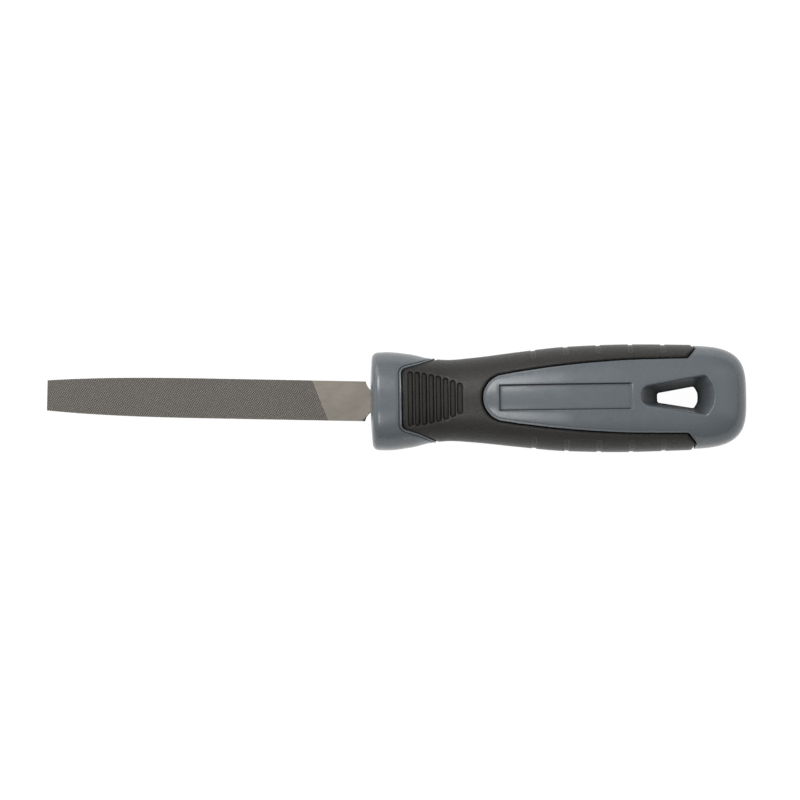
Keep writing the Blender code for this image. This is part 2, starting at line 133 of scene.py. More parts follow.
STRAP_NOTCH_SECTION = (
    (-0.2, 0.0), (-0.04, 0.04), (0.08, -0.04), (0.2, -0.2), (0.45, -0.22), (0.9, -0.22),
)

# Recess of the panel and hanging hole
RECESS = (40.2, 81.6)
RECESS_HALF_WIDTH = 4.15
RECESS_SECTION = (
    (-0.12, 0.0), (-0.02, -0.03), (0.05, -0.16), (0.09, -0.8), (0.25, -0.84), (0.5, -0.84),
)
HOLE_RIM = (
    (84.6, 0), (84.6, 2.75, 2.9), (104.9, 6.3, 1.4), (106.8, 3.2, 4.0), (107.3, 1.0, 6.0),
    (107.3, 0),
)
HOLE_THROAT = ((89.95, 0), (89.95, 1.45, 0.75), (101.4, 3.4, 0.8), (102.5, 1.5, 2.0), (102.6, 0))
HOLE_WALL_CURVE = 1.15  # the wall is slanted at the rim and upright at the throat
HOLE_EDGE_SECTION = ((0.0, -0.6), (0.08, -0.36), (0.2, -0.19), (0.38, -0.06), (0.6, 0.0))

# Painted tone of the surface: 1 where it is paler, -1 where it is painted shade as dark as deep in
# a groove.
# Rubber: (distance inside the rim of a slot, or from a seam, tone)
# Thumb grooves: painted shade inside each groove and a painted highlight on its rim
THUMB_GROOVE_TONE = (
    (-0.2, 0.1), (-0.05, 0.7), (0.04, -0.6), (0.1, -1.0), (0.28, -1.0), (0.42, -0.2), (0.8, 0.1),
)
# Strap notches: paler in and around each notch
STRAP_NOTCH_TONE = ((-0.2, 0.0), (-0.05, 0.38), (0.15, 0.45), (0.35, 0.12), (0.9, 0.1))
# Painted shade on the rubber along each seam
GRIP_EDGE_TONE = ((0.0, -1.0), (0.4, -0.8), (0.9, 0.0))
# Plastic, all painted shade: by height below the form at a seam, by distance inside the recess's
# rim, faded out at the lit end towards the butt, and by the share of the way down the wall of the
# hole
SEAM_TONE = ((-0.45, -1.0), (-0.12, 0.0))
RECESS_TONE = ((-0.04, 0.0), (0.04, -0.75), (0.3, -0.65), (0.6, 0.0))
RECESS_TONE_END = ((81.1, 1.0), (81.5, 0.0))  # share of it by x
HOLE_TONE = ((0.0, 0.0), (0.2, -0.35), (0.7, -0.6), (0.9, -0.8), (1.0, -1.0))

# Steel blade, in its own frame: x from the handle's front face, negative towards the tip
BLADE_LENGTH = 99.94
BLADE_WIDTH = 12.5
BLADE_THICKNESS = 3.0
TIP_WIDTH = 9.5
TIP_THICKNESS = 2.3
TAPER_LENGTH = 55.0
TAPER_POWER = 2.9
HEEL_INSET = 0.06  # the uncut heel is narrower by this on each side
SHOULDER_STANDOFF = 1.6
BLADE_TIP = -BLADE_LENGTH - SHOULDER_STANDOFF
SHOULDER_DROP = 2.85
SHOULDERS = ((1.6, 2.0, 1.3), (2.6, 2.5, 2.0))  # for +Y and -Y: start, run and squareness
TANG_REACH = 46.0
TANG_POINT = 1.5  # length of the tang's pointed end
TANG_TIP_WIDTH = 3.6
TANG_TIP_THICKNESS = 2.0
BLADE_YAW = math.radians(-1.8)
UPCUT_PITCH = 0.537
OVERCUT_PITCH = 0.58
UPCUT_ANGLE = math.radians(67.0)
OVERCUT_ANGLE = math.radians(48.0)
CUT_AXES = np.array([  # directions across the rows of upcuts and of overcuts
    (-math.sin(UPCUT_ANGLE), -math.cos(UPCUT_ANGLE)),
    (math.sin(OVERCUT_ANGLE), -math.cos(OVERCUT_ANGLE)),
])
TOOTH_DEPTH = 0.2
TOOTH_RAKE = 0.22  # how far each crest leans off the middle of its cell, in cells
LATTICE_REACH = 7.25  # teeth are laid out this far from the middle line and then trimmed
CUT_END = 16.0
HEEL_GAP = 0.03  # between the last row of teeth and the edge of the heel
EDGE_TOOTH_PITCH = 0.54
EDGE_TOOTH_DEPTH = 0.09
EDGE_TOOTH_ROOT = 0.3  # share of the pitch from a crest to the root behind it
WALL_LIMIT = 0.3  # faces steeper than this are upright walls, shaded flat

# Materials: colours are linear. A gloss is a specular level. A noise scale is in waves to the
# metre, and a grain has a strength and a height in metres.
PLASTIC_DARK = (0.148, 0.166, 0.181)
PLASTIC_LIGHT = (0.163, 0.182, 0.197)
# the colour of the painted shade in the seams, the recess and the hole
PLASTIC_PAINTED_SHADE = (0.016, 0.0165, 0.017)
PLASTIC_GLOSS = 0.5
PLASTIC_GROOVE_ROUGHNESS = 0.9
PLASTIC_GROOVE_GLOSS = 0.02
PLASTIC_ROUGHNESS = (0.24, 0.29)
PLASTIC_CLOUD_SCALE = 70
PLASTIC_POLISH_SCALE = 420
PLASTIC_GRAIN = (0.07, 0.00006)
GRAIN_SCALE = 1700
RUBBER_DARK = (0.0070, 0.0068, 0.0062)
RUBBER_LIGHT = (0.0250, 0.0242, 0.0228)
# painted shade in the grooves and along the seams, and a paler colour for the painted highlight on
# the groove rims and for the strap notches
RUBBER_PAINTED_SHADE = (0.003, 0.003, 0.003)
RUBBER_PALE_AND_HIGHLIGHT = (0.060, 0.058, 0.054)
RUBBER_GLOSS = (0.11, 0.30)
RUBBER_GROOVE_GLOSS = 0.05
RUBBER_ROUGHNESS = (0.37, 0.44)
RUBBER_PATCH_SCALE = 2300
RUBBER_POLISH_SCALE = 900
RUBBER_GRAIN = (0.4, 0.00008)
STEEL_DARK = (0.232, 0.212, 0.183)
STEEL_LIGHT = (0.280, 0.256, 0.221)
STEEL_METALLIC = 0.85
STEEL_ROUGHNESS = (0.42, 0.58)
STEEL_CLOUD_SCALE = 120
SCRATCH_SCALE = 900
SCRATCH_STRETCH = (0.4, 1, 1)
STEEL_GRAIN = (0.15, 0.00005)
# teeth: painted shade in the valleys, and paler crests, partly a painted highlight and partly
# bright worn tips
TOOTH_VALLEY_SHADE = (0.120, 0.110, 0.098)
TOOTH_CREST_WEAR_AND_HIGHLIGHT = (0.560, 0.520, 0.468)
CREST_START = 0.2  # share of the way up a tooth from which it is paler
TOOTH_METALLIC = 0.3
TOOTH_ROUGHNESS = 0.65

# Studio
FLOOR_SIZE = 6.0
FLOOR_COLOUR = 0.8
FLOOR_ROUGHNESS = 0.9
FLOOR_SHADE = 0.1
FLOOR_GLOW = 0.98
WORLD_LEVEL = 0.04
LAMP_DISTANCE = 1.0
# Lamps: degrees from straight above towards +X and +Y, size in metres, light level
LAMPS = (
    ("key", -11, 25, (0.10, 0.46), 0.32),
    ("key_edge", -18, 22, (0.08, 0.36), 0.04),
    ("low_key", -9, -24, (0.12, 0.38), 0.18),
    ("side", 50, 14, (1.1, 1.1), 0.16),
    ("left", -54, 0, (0.5, 1.2), 0.11),
    ("back", -25, 58, (0.5, 0.5), 0.12),
)
SENSOR_WIDTH = 36.0
VIEW_WIDTH = 251.2  # mm seen across the picture, at the level of the handle's axis
CAMERA_DISTANCE = 2000.0
CAMERA_TARGET = (9.2, 0.35, 0.0)  # mm from the centre of the handle's front face
CAMERA_TILT = math.radians(3.2)
CAMERA_ROLL = math.radians(-0.727)
CLIP_END = 10

# Mesh resolution
GRID_STEP = 0.85
LINE_STEP = 0.35
RECESS_STEP = 0.8
RIM_STEP = 0.4
THROAT_STEP = 0.1
GRID_CLEARANCE = 0.3  # grid points keep this far from the lines
BORDER_CLEARANCE = 0.1  # and those on the border this far
TOLERANCE = 1e-3  # points this near to a line or the border are on it
MERGE_DISTANCE = 1e-4
WELD = 2e-6  # in metres
GIRTH = 23.0  # the quarter girth of the handle in the flat domain
ARC_STEPS = 240
CAP_RINGS = 14
WALL_RINGS = 14
SHARP_ANGLE = math.radians(50)


# Curves and the form of the handle


def curve_through(stations):
    """A smooth function through (x, value) stations that doesn't overshoot."""
    xs, values = np.array(stations, float).T
    widths = np.diff(xs)
    slopes = np.diff(values) / widths
    before, after = slopes[:-1], slopes[1:]
    same_way = before * after > 0
    inner = np.where(same_way, 2 * before * after / np.where(same_way, before + after, 1), 0)
    tangents = np.concatenate([slopes[:1], inner, slopes[-1:]])

    def value(x):
        x = np.clip(np.asarray(x, float), xs[0], xs[-1])
        i = np.clip(np.searchsorted(xs, x, side="right") - 1, 0, len(widths) - 1)
        t = (x - xs[i]) / widths[i]
        return (
            (1 + 2 * t) * (1 - t) ** 2 * values[i]
            + t * (1 - t) ** 2 * widths[i] * tangents[i]
            + t * t * (3 - 2 * t) * values[i + 1]
            - t * t * (1 - t) * widths[i] * tangents[i + 1]
        )

    return value


half_width_curve = curve_through(HALF_WIDTHS)
half_thickness_curve = curve_through(HALF_THICKNESSES)
squareness = curve_through(SQUARENESS)
grip_proud = curve_through(GRIP_PROUD)
panel_half_width = curve_through(PANEL_HALF_WIDTHS)


def closing(x):
    """How far the butt has drawn in at x: 1 before it starts, 0 at its end."""
    share = np.clip((x - BUTT_START) / (HANDLE_LENGTH - BUTT_START), 0, 1)
    return (1 - share**BUTT_SQUARENESS) ** (1 / BUTT_SQUARENESS)


def section_sizes(x):
    return half_width_curve(x) * closing(x), half_thickness_curve(x) * closing(x)


def section_points(x, angle, inset=0.0):
    """(y, z) of the section at x in the direction of an angle from +Y."""
    half_width, half_thickness = section_sizes(x)
    power = squareness(x)
    across = np.cos(angle)
    up = np.sin(angle)
    terms = np.abs(across / (half_width - inset)) ** power
    terms = terms + np.abs(up / (half_thickness - inset)) ** power
    reach = terms ** (-1 / power)
    return reach * across, reach * up


def arc_table(x):
    """Angles from the top of the handle to its side, with y and arc length, one row for each x."""
    angles = np.linspace(math.pi / 2, 0, ARC_STEPS + 1)
    y, z = section_points(np.asarray(x, float)[:, None], angles[None, :])
    steps = np.hypot(np.diff(y, axis=1), np.diff(z, axis=1))
    lengths = np.concatenate([np.zeros((len(y), 1)), np.cumsum(steps, axis=1)], axis=1)
    return angles, y, lengths


def onto_form(plan):
    """Points seen from above, (x, y), as (x, distance round the form from its top)."""
    plan = np.asarray(plan, float)
    _, y, lengths = arc_table(plan[:, 0])
    rounds = [np.interp(p[1], row, arc) for p, row, arc in zip(plan, y, lengths)]
    return np.column_stack([plan[:, 0], rounds])


def quarter_girth(x):
    return arc_table(np.atleast_1d(x))[2][:, -1]


def normals_at(x, y, z):
    """Outward normals of the form, from the gradient of its section's equation."""
    step = 0.01
    half_width, half_thickness = section_sizes(x)
    after, before = section_sizes(x + step), section_sizes(x - step)
    width_slope = (after[0] - before[0]) / (2 * step)
    thickness_slope = (after[1] - before[1]) / (2 * step)
    power = squareness(x)
    across, up = np.abs(y / half_width), np.abs(z / half_thickness)
    along = -(across**power) * width_slope / half_width
    along -= up**power * thickness_slope / half_thickness
    gradient = np.column_stack([
        along,
        np.sign(y) * across ** (power - 1) / half_width,
        np.sign(z) * up ** (power - 1) / half_thickness,
    ])
    return gradient / np.linalg.norm(gradient, axis=1, keepdims=True)


def on_surface(flat, heights):
    """Points of the form for (x, distance round) pairs, each raised by its height."""
    x = flat[:, 0]
    angles, _, lengths = arc_table(x)
    angle = np.array([np.interp(v, row, angles) for v, row in zip(flat[:, 1], lengths)])
    y, z = section_points(x, angle)
    y = np.where(angle > math.pi / 2 - 1e-6, 0, y)
    z = np.where(angle < 1e-6, 0, z)
    return np.column_stack([x, y, z]) + normals_at(x, y, z) * heights[:, None]


# Lines in the flat domain, which is (x, distance round from the top)


def resampled(points, step=LINE_STEP):
    """The same line with points at most a step apart."""
    points = np.asarray(points, float)
    pieces = [points[:1]]
    for start, end in zip(points, points[1:]):
        count = max(1, math.ceil(np.linalg.norm(end - start) / step))
        share = np.arange(1, count + 1)[:, None] / count
        pieces.append(start + (end - start) * share)
    return np.concatenate(pieces)


def arc(centre, radius, start, end, count=10):
    turn = np.radians(np.linspace(start, end, count + 1))
    return [(centre[0] + radius * math.cos(t), centre[1] + radius * math.sin(t)) for t in turn]


def rounded_line(corners, count=8):
    """A line whose inner corners, given as (x, y, radius), are rounded."""
    points = [corners[0][:2]]
    for i in range(1, len(corners) - 1):
        corner = Vector(corners[i][:2])
        radius = corners[i][2]
        before = (Vector(corners[i - 1][:2]) - corner).normalized()
        after = (Vector(corners[i + 1][:2]) - corner).normalized()
        half_angle = before.angle(after) / 2
        centre = corner + (before + after).normalized() * (radius / math.sin(half_angle))
        start = corner + before * (radius / math.tan(half_angle)) - centre
        sweep = start.angle_signed(corner + after * (radius / math.tan(half_angle)) - centre)
        for k in range(count + 1):
            points.append(tuple(centre + Matrix.Rotation(-sweep * k / count, 2) @ start))
    points.append(corners[-1][:2])
    return points


def lengths_along(line):
    """The length of the line up to each of its points."""
    return np.concatenate([[0], np.cumsum(np.linalg.norm(np.diff(line, axis=0), axis=1))])


def offset_line(line, distance):
    """The line moved to its left by a distance."""
    tangents = np.gradient(line, axis=0)
    tangents /= np.linalg.norm(tangents, axis=1, keepdims=True)
    moved = line + np.column_stack([-tangents[:, 1], tangents[:, 0]]) * distance
    for end in (0, -1):
        on_side = line[end, 1] > GIRTH / 2
        moved[end, 1] = quarter_girth(moved[end, 0])[0] if on_side else 0.0
    return moved


def distance_to(points, line):
    """Distance from each point to the nearest place on the line."""
    nearest = np.full(len(points), np.inf)
    for origin, step in zip(line[:-1], np.diff(line, axis=0)):
        length = max((step**2).sum(), 1e-12)
        share = np.clip((points - origin) @ step / length, 0, 1)
        gap = points - origin - share[:, None] * step
        nearest = np.minimum(nearest, (gap**2).sum(1))
    return np.sqrt(nearest)


def inside(points, loop):
    """Whether each point lies inside the closed loop."""
    x, y = points.T
    found = np.zeros(len(points), bool)
    for (x0, y0), (x1, y1) in zip(loop, np.roll(loop, -1, axis=0)):
        if y0 != y1:
            crosses = (y0 > y) != (y1 > y)
            found ^= crosses & (x < x0 + (y - y0) * (x1 - x0) / (y1 - y0))
    return found


def profile(distance, section):
    """Height at a distance, read from a (distance, height) section."""
    distances, heights = np.array(section).T
    return np.interp(distance, distances, heights)


def front_seam():
    """Collar seam, from the top of the handle to its side. The plastic is on its left."""
    corners = [(PAD_FRONT, 0.0), PAD_CORNER, PAD_SHOULDER, PAD_SIDE]
    plan = resampled(rounded_line(corners))
    side = (COLLAR_END, quarter_girth(COLLAR_END)[0])
    return resampled(np.vstack([onto_form(plan), side]))


def panel_seam():
    """Strap end and panel seam, from the side back to the panel's nose. Plastic on its left."""
    corners = [STRAP_SIDE, STRAP_POINT, STRAP_HEEL, (STRAP_HEEL_START, STRAP_HEEL[1])]
    sides = np.linspace(PANEL_SIDE_END, PANEL_HALF_WIDTHS[0][0], 60)
    centre = (PANEL_NOSE + PANEL_NOSE_RADIUS, 0.0)
    nose = arc(centre, PANEL_NOSE_RADIUS, 180 - PANEL_NOSE_TURN, 180, 24)
    plan = rounded_line(corners)[:-1] + list(zip(sides, panel_half_width(sides))) + nose
    side = (STRAP_END, quarter_girth(STRAP_END)[0])
    return resampled(np.vstack([side, onto_form(resampled(plan))]))


def seams(front, rear):
    """Each seam with its sections in the plastic and in the rubber."""
    return (front, COLLAR_LIP, GRIP_FRONT_EDGE), (rear, PANEL_LIP, GRIP_REAR_EDGE)


def grip_loop(front, rear):
    """The closed outline of the grip in a quarter of the flat domain."""
    sides = np.linspace(front[-1, 0], rear[0, 0], 120)
    side = np.column_stack([sides, quarter_girth(sides) + TOLERANCE])
    starts = [front[0, 0], -TOLERANCE]
    ends = [rear[-1, 0], -TOLERANCE]
    return np.vstack([starts, front, side, rear, ends])


def recess_line(grow):
    """Half the recess's outline, outside on its left."""
    low, high, side = RECESS[0] - grow, RECESS[1] + grow, RECESS_HALF_WIDTH + grow
    return resampled([(low, 0.0), (low, side), (high, side), (high, 0.0)], RECESS_STEP)


def rim_line(grow):
    """Half of the hole's rim, from its narrow to its wide end, outside on its left."""
    rim = resampled(rounded_line(HOLE_RIM), RIM_STEP)
    return offset_line(onto_form(rim), grow)


# Slots across the handle: the thumb grooves and the strap notches


def slot_distance(flat, x, near, far, radius):
    """How far inside a round-ended slot each point is, negative outside."""
    beyond = np.maximum(flat[:, 1] - far + radius, 0) + np.maximum(near + radius - flat[:, 1], 0)
    return radius - np.hypot(flat[:, 0] - x, beyond)


def thumb_grooves():
    """(x, half length) of each thumb groove."""
    along = np.arange(THUMB_GROOVES) / (THUMB_GROOVES - 1)
    shorter = THUMB_GROOVE_LONGEST - THUMB_GROOVE_SHORTEST
    lengths = THUMB_GROOVE_LONGEST - shorter * along**THUMB_GROOVE_SHORTENING
    starts = THUMB_GROOVE_START + THUMB_GROOVE_PITCH * np.arange(THUMB_GROOVES)
    return list(zip(starts, lengths))


def strap_notches():
    """(x, where it starts round the form) of each strap notch."""
    starts = STRAP_NOTCH_START + STRAP_NOTCH_PITCH * np.arange(STRAP_NOTCHES)
    plan = [(x, half_width_curve(x) - STRAP_NOTCH_REACH) for x in starts]
    return [tuple(point) for point in onto_form(plan)]


def slot_lines():
    """Lines along the sections of all thumb grooves and strap notches."""
    lines = []
    for x, far in thumb_grooves():
        for inset, _ in THUMB_GROOVE_SECTION:
            reach = THUMB_GROOVE_WIDTH / 2 - inset
            end = arc((x, far - THUMB_GROOVE_WIDTH / 2), reach, 180, 0)
            lines.append(resampled([(x - reach, 0.0), *end, (x + reach, 0.0)]))
    for x, near in strap_notches():
        for inset, _ in STRAP_NOTCH_SECTION:
            reach = STRAP_NOTCH_WIDTH / 2 - inset
            end = arc((x, near + STRAP_NOTCH_WIDTH / 2), reach, 180, 360)
            side = quarter_girth([x - reach, x + reach])
            lines.append(resampled([(x - reach, side[0]), *end, (x + reach, side[1])]))
    return lines


def slot_relief(flat):
    """Height of the slots at each point, and its tone: -1, painted shade, deep in a groove; above
    0, a painted highlight on a groove's rim, and paler notches.
    """
    height = np.zeros(len(flat))
    tone = np.zeros(len(flat))
    for x, far in thumb_grooves():
        depth = slot_distance(flat, x, -far, far, THUMB_GROOVE_WIDTH / 2)
        slant = THUMB_GROOVE_SLANT * (flat[:, 0] - x) * profile(depth, THUMB_GROOVE_FLOOR)
        height += profile(depth, THUMB_GROOVE_SECTION) - slant
        # painted shade in the groove and a painted highlight on its rim
        tone += profile(depth, THUMB_GROOVE_TONE)
    for x, near in strap_notches():
        depth = slot_distance(flat, x, near, 2 * GIRTH, STRAP_NOTCH_WIDTH / 2)
        height += profile(depth, STRAP_NOTCH_SECTION)
        # paler in and around the notch
        tone += profile(depth, STRAP_NOTCH_TONE)
    return height, tone


# Meshes, in chunks of (points, faces, tones)


def flat_grid(lines):
    """Grid points of the flat domain that keep clear of the lines, and those on its border."""
    columns = np.linspace(COLLAR_ROUND, BUTT_CAP, round((BUTT_CAP - COLLAR_ROUND) / GRID_STEP) + 1)
    shares = np.linspace(0, 1, round(GIRTH / GRID_STEP) + 1)
    x, share = (axis.ravel() for axis in np.meshgrid(columns, shares))
    grid = np.column_stack([x, share * quarter_girth(x)])
    drawn = np.concatenate(lines)
    nearest = np.array([((drawn - point) ** 2).sum(1).min() for point in grid])
    ends = (x == columns[0]) | (x == columns[-1])
    border = ends | (share == 0) | (share == 1)
    clear = (nearest > GRID_CLEARANCE**2) | border & (nearest > BORDER_CLEARANCE**2)
    return grid[ends | clear]


def triangulated(lines):
    """Triangles of the whole flat domain with an edge along every line."""
    points = np.concatenate([flat_grid(lines), *lines])
    first = len(points) - sum(len(line) for line in lines)
    edges = []
    for line in lines:
        edges += [(first + i, first + i + 1) for i in range(len(line) - 1)]
        first += len(line)
    share = np.clip(points[:, 1] / quarter_girth(points[:, 0]), 0, 1)
    square = [Vector((x, s * GIRTH)) for x, s in zip(points[:, 0], share)]
    result = delaunay_2d_cdt(square, edges, [], 0, MERGE_DISTANCE)
    flat = np.array([tuple(point) for point in result[0]])
    flat[:, 1] = np.clip(flat[:, 1], 0, GIRTH) * quarter_girth(flat[:, 0]) / GIRTH
    return flat, np.array(result[2])


def used_only(points, faces):
    """The points that the faces use, and the faces numbered to suit."""
    used = np.unique(faces)
    order = np.full(len(points), -1)
    order[used] = np.arange(len(used))
    return points[used], order[faces]


def border_edges(faces):
    """Directed edges that only one face has."""
    edges = {}
    for face in faces:
        for a, b in zip(face, np.roll(face, -1)):
            edges[(a, b)] = True
    return [(a, b) for a, b in edges if (b, a) not in edges]


def ring_faces(first, second, points_each):
    """Quads between two open rings of points."""
    return [
        (first + k, first + k + 1, second + k + 1, second + k) for k in range(points_each - 1)
    ]


def rings_chunk(rings, end_point=None, tones=0.0):
    """Quads through open rings of as many points each, closed to a point where one is given."""
    count = len(rings[0])
    faces = []
    for k in range(len(rings) - 1):
        faces += ring_faces(k * count, (k + 1) * count, count)
    points = np.concatenate(rings)
    if end_point is not None:
        last = (len(rings) - 1) * count
        faces += [(last + k, last + k + 1, len(points)) for k in range(count - 1)]
        points = np.vstack([points, end_point])
    return points, faces, np.zeros(len(points)) + tones


def mesh_from(name, chunks, mirrored=True):
    """A mesh from chunks in millimetres, mirrored across the handle's middle planes."""
    bm = bmesh.new()
    layer = bm.verts.layers.float.new("tone")
    for points, faces, tones in chunks:
        verts = [bm.verts.new(point) for point in points * MM]
        for vert, tone in zip(verts, tones):
            vert[layer] = tone
        for face in faces:
            bm.faces.new([verts[i] for i in face])
    bmesh.ops.remove_doubles(bm, verts=bm.verts, dist=WELD)
    for axis in "YZ" if mirrored else "":
        everything = bm.faces[:] + bm.edges[:] + bm.verts[:]
        bmesh.ops.mirror(bm, geom=everything, merge_dist=WELD, axis=axis)
    loose = [vert for vert in bm.verts if not vert.link_faces]
    bmesh.ops.delete(bm, geom=loose, context="VERTS")
    bmesh.ops.recalc_face_normals(bm, faces=bm.faces)
    mesh = bpy.data.meshes.new(name)
    bm.to_mesh(mesh)
    bm.free()
    mesh.shade_smooth()
    mesh.set_sharp_from_angle(angle=SHARP_ANGLE)
    return mesh


# Handle core


def sideness(flat):
    """0 over the top of the handle, rising to 1 at its side."""
    return profile(flat[:, 1] / quarter_girth(flat[:, 0]), ((SIDE_START, 0), (1, 1)))


def core_lines(front, rear):
    """Lines along the sections of the seams, the recess and the rim of the hole."""
    lines = []
    for line, section, edge in seams(front, rear):
        offsets = [distance for distance, _ in section] + [-edge[0][0]]
        lines += [offset_line(line, offset) for offset in offsets]
    lines += [recess_line(-inset) for inset, _ in RECESS_SECTION]
    lines += [rim_line(grow) for grow, _ in HOLE_EDGE_SECTION]
    return lines


def recess_depth(flat):
    """How far inside the rim of the recess each point is, negative outside."""
    return np.minimum(
        (RECESS[1] - RECESS[0]) / 2 - np.abs(flat[:, 0] - sum(RECESS) / 2),
        RECESS_HALF_WIDTH - flat[:, 1],
    )


def core_surface(front, rear):
    """The outer face of the core, let down under the grip and open at the hanging hole."""
    flat, faces = triangulated(core_lines(front, rear))
    from_front, from_rear = distance_to(flat, front), distance_to(flat, rear)
    nudged = np.column_stack([flat[:, 0], np.clip(flat[:, 1], TOLERANCE, None)])
    off_seam = np.minimum(from_front, from_rear) > SEAM_MARGIN
    covered = inside(nudged, grip_loop(front, rear)) & off_seam
    height = profile(from_front, COLLAR_LIP) + profile(from_rear, PANEL_LIP)
    # painted shade in the seams' grooves
    tone = profile(height, SEAM_TONE)
    rise = COLLAR_SIDE_RISE * sideness(flat)
    height += rise * profile(from_front, COLLAR_RISE_SECTION)
    height += profile(recess_depth(flat), RECESS_SECTION)
    # painted shade along the recess's walls, faded out at its lit end
    tone += profile(recess_depth(flat), RECESS_TONE) * profile(flat[:, 0], RECESS_TONE_END)
    rim = rim_line(0.0)
    height += profile(distance_to(flat, rim), HOLE_EDGE_SECTION)
    height = np.where(covered, -GRIP_THICKNESS - CORE_CLEARANCE, height)

    middles = flat[faces].mean(axis=1)
    hole = np.vstack([[rim[0, 0], -1.0], rim, [rim[-1, 0], -1.0]])
    faces = faces[~inside(middles, hole)]
    return on_surface(flat, height), [tuple(face) for face in faces], tone


def border_angles(x):
    """Angles of the flat domain's border points at one of its ends."""
    angles, _, lengths = arc_table([x])
    shares = np.linspace(0, 1, round(GIRTH / GRID_STEP) + 1)
    return np.interp(shares * lengths[0, -1], lengths[0], angles)


def ring_at(x, reference, angles, inset=0.0, scale=1.0):
    y, z = section_points(np.full(len(angles), float(reference)), angles, inset)
    y[angles > math.pi / 2 - 1e-6] = 0
    z[angles < 1e-6] = 0
    return np.column_stack([np.full(len(angles), float(x)), y * scale, z * scale])


def socket_ring(angles):
    """The mouth of the tang's socket, a rectangle with one of its points at each angle."""
    half_width, half_height = SOCKET_HALF_SIZE
    across, up = np.cos(angles), np.sin(angles)
    with np.errstate(divide="ignore"):
        reach = np.minimum(half_width / np.abs(across), half_height / np.abs(up))
    ring = np.column_stack([np.zeros(len(angles)), reach * across, reach * up])
    ring[:, 1][angles > math.pi / 2 - 1e-6] = 0
    ring[:, 2][angles < 1e-6] = 0
    corner = np.argmin(np.abs(angles - math.atan2(half_height, half_width)))
    ring[corner] = (0, half_width, half_height)
    return ring


def collar_front():
    """Rounded rim, crowned front face and the socket for the tang."""
    angles = border_angles(COLLAR_ROUND)
    rings = []
    turns = np.radians(np.append(np.linspace(0, 87, 16), (89, 90)))
    for share in np.sin(turns):
        inset = COLLAR_ROUND * (1 - (1 - share**COLLAR_SQUARENESS) ** (1 / COLLAR_SQUARENESS))
        x = COLLAR_ROUND - (COLLAR_ROUND - FACE_CROWN) * share
        rings.append(ring_at(x, COLLAR_ROUND, angles, inset))
    edge = rings[-1]
    socket = socket_ring(angles)
    for share in np.linspace(0, 1, 9)[1:]:
        ring = edge + (socket - edge) * share
        ring[:, 0] = FACE_CROWN * (1 - share) ** 2
        rings.append(ring)
    return rings_chunk(rings + [socket + SOCKET_END], end_point=SOCKET_END)


def butt_end():
    angles = border_angles(BUTT_CAP)
    share = (BUTT_CAP - BUTT_START) / (HANDLE_LENGTH - BUTT_START)
    first = math.asin(share ** (BUTT_SQUARENESS / 2))
    rings = [ring_at(BUTT_CAP, BUTT_CAP, angles)]
    for turn in np.linspace(first, math.radians(89.7), CAP_RINGS)[1:]:
        x = BUTT_START + (HANDLE_LENGTH - BUTT_START) * math.sin(turn) ** (2 / BUTT_SQUARENESS)
        rings.append(ring_at(x, x, angles))
    return rings_chunk(rings, end_point=(HANDLE_LENGTH, 0, 0))


def hole_wall():
    """The drafted wall of the hole, from the rim to the throat half way through the handle."""
    rim_flat = rim_line(0.0)
    rim = on_surface(rim_flat, np.full(len(rim_flat), HOLE_EDGE_SECTION[0][1]))
    throat = resampled(rounded_line(HOLE_THROAT), THROAT_STEP)
    steps, rim_steps = lengths_along(throat), lengths_along(rim_flat)
    place = rim_steps / rim_steps[-1] * steps[-1]
    x, y = np.interp(place, steps, throat[:, 0]), np.interp(place, steps, throat[:, 1])
    middle = np.column_stack([x, y, np.zeros(len(x))])
    shares = np.linspace(0, 1, WALL_RINGS)
    inward = 1 - (1 - shares) ** HOLE_WALL_CURVE
    rings = [rim + (middle - rim) * (i, i, share) for i, share in zip(inward, shares)]
    # painted shade, darker down the wall of the hole
    return rings_chunk(rings, tones=np.repeat(profile(shares, HOLE_TONE), len(rim)))


def make_core(front, rear):
    chunks = [core_surface(front, rear), collar_front(), butt_end(), hole_wall()]
    return mesh_from("handle_plastic", chunks)


# Soft grip


def make_grip(front, rear):
    lines = slot_lines()
    for line, _, edge in seams(front, rear):
        lines += [offset_line(line, -distance) for distance, _ in edge]
    flat, faces = triangulated(lines)
    edges = [offset_line(line, -edge[0][0]) for line, _, edge in seams(front, rear)]
    faces = faces[inside(flat[faces].mean(axis=1), grip_loop(*edges))]
    flat, faces = used_only(flat, faces)

    height, tone = slot_relief(flat)
    height += grip_proud(flat[:, 0])
    for line, _, edge in seams(front, rear):
        height += profile(distance_to(flat, line), edge)
        # painted shade on the rubber along the seam
        tone += profile(distance_to(flat, line), GRIP_EDGE_TONE)
    height += sideness(flat) * profile(distance_to(flat, front), GRIP_SIDE_DIP)
    outer = on_surface(flat, height)
    inner = on_surface(flat, np.full(len(flat), -GRIP_THICKNESS))

    count = len(flat)
    on_side = flat[:, 1] > quarter_girth(flat[:, 0]) - TOLERANCE
    on_middle = (flat[:, 1] < TOLERANCE) | on_side
    walls = [
        (a, b, b + count, a + count)
        for a, b in border_edges(faces)
        if not (on_middle[a] and on_middle[b])
    ]
    all_faces = [tuple(f) for f in faces] + [tuple(f + count) for f in faces[:, ::-1]] + walls
    tones = np.concatenate([tone, tone])
    return mesh_from("handle_rubber", [(np.vstack([outer, inner]), all_faces, tones)])


# Blade


def taper(x):
    """How far into the taper behind the tip: 0 before it, 1 at the tip."""
    return np.maximum(0.0, 1 - (x - BLADE_TIP) / TAPER_LENGTH) ** TAPER_POWER


def blade_half_width(x):
    return (BLADE_WIDTH - (BLADE_WIDTH - TIP_WIDTH) * taper(x)) / 2


def blade_half_thickness(x):
    tang = BLADE_THICKNESS + (TANG_TIP_THICKNESS - BLADE_THICKNESS) * np.clip(x / TANG_REACH, 0, 1)
    return (tang - (BLADE_THICKNESS - TIP_THICKNESS) * taper(x)) / 2


